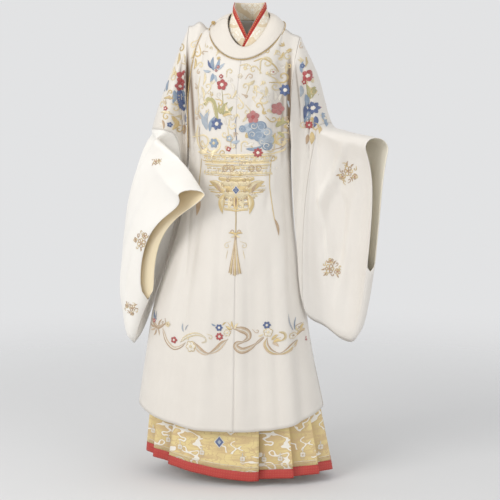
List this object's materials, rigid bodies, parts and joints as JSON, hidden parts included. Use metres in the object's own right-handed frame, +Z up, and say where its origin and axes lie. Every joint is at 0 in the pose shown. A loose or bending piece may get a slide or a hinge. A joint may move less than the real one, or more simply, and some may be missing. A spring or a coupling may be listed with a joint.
{
  "type": "round-collar robe set with pleated skirt and under-collar",
  "caption": "wide-sleeved round-collar robe worn over a pleated wrap skirt and a crossed under-collar, hollow and standing as on a figure",
  "frame": {"origin": "between the shoulders, in the middle of the body's depth, at the height where the robe hangs from the wearer's shoulders", "axes": "+Z up, the front faces -Y, +X is the wearer's left"},
  "size_m": [0.8101, 0.3921, 1.41],
  "materials": {
    "satin": "cream satin with embroidery",
    "gold": "gold thread cord",
    "brocade": "gold brocade",
    "hem_red": "red woven hem band with gold dots",
    "collar_brocade": "cream brocade",
    "trim_red": "red woven edge with gold dashes"
  },
  "bodies": {
    "root": {"front_left": "satin", "front_overlap": "satin", "front_right": "satin", "back_left": "satin", "back_right": "satin", "sleeve_upper_left_front": "satin", "sleeve_upper_left_back": "satin", "sleeve_upper_right": "satin", "sleeve_lower_left_front": "satin", "sleeve_lower_left_back": "satin", "sleeve_lower_right": "satin", "collar_band": "satin", "collar_piping": "gold", "overlap_piping": "gold", "knot_button": "gold", "under_collar_left": "collar_brocade", "under_collar_right": "collar_brocade", "under_trim_left": "trim_red", "under_trim_right": "trim_red", "skirt_waistband": "brocade", "skirt_panel_front": "brocade", "skirt_panel_back": "brocade", "skirt_pleats_left": "brocade", "skirt_pleats_right": "brocade", "skirt_hem_front": "hem_red", "skirt_hem_back": "hem_red", "skirt_hem_left": "hem_red", "skirt_hem_right": "hem_red"}
  },
  "joints": []
}
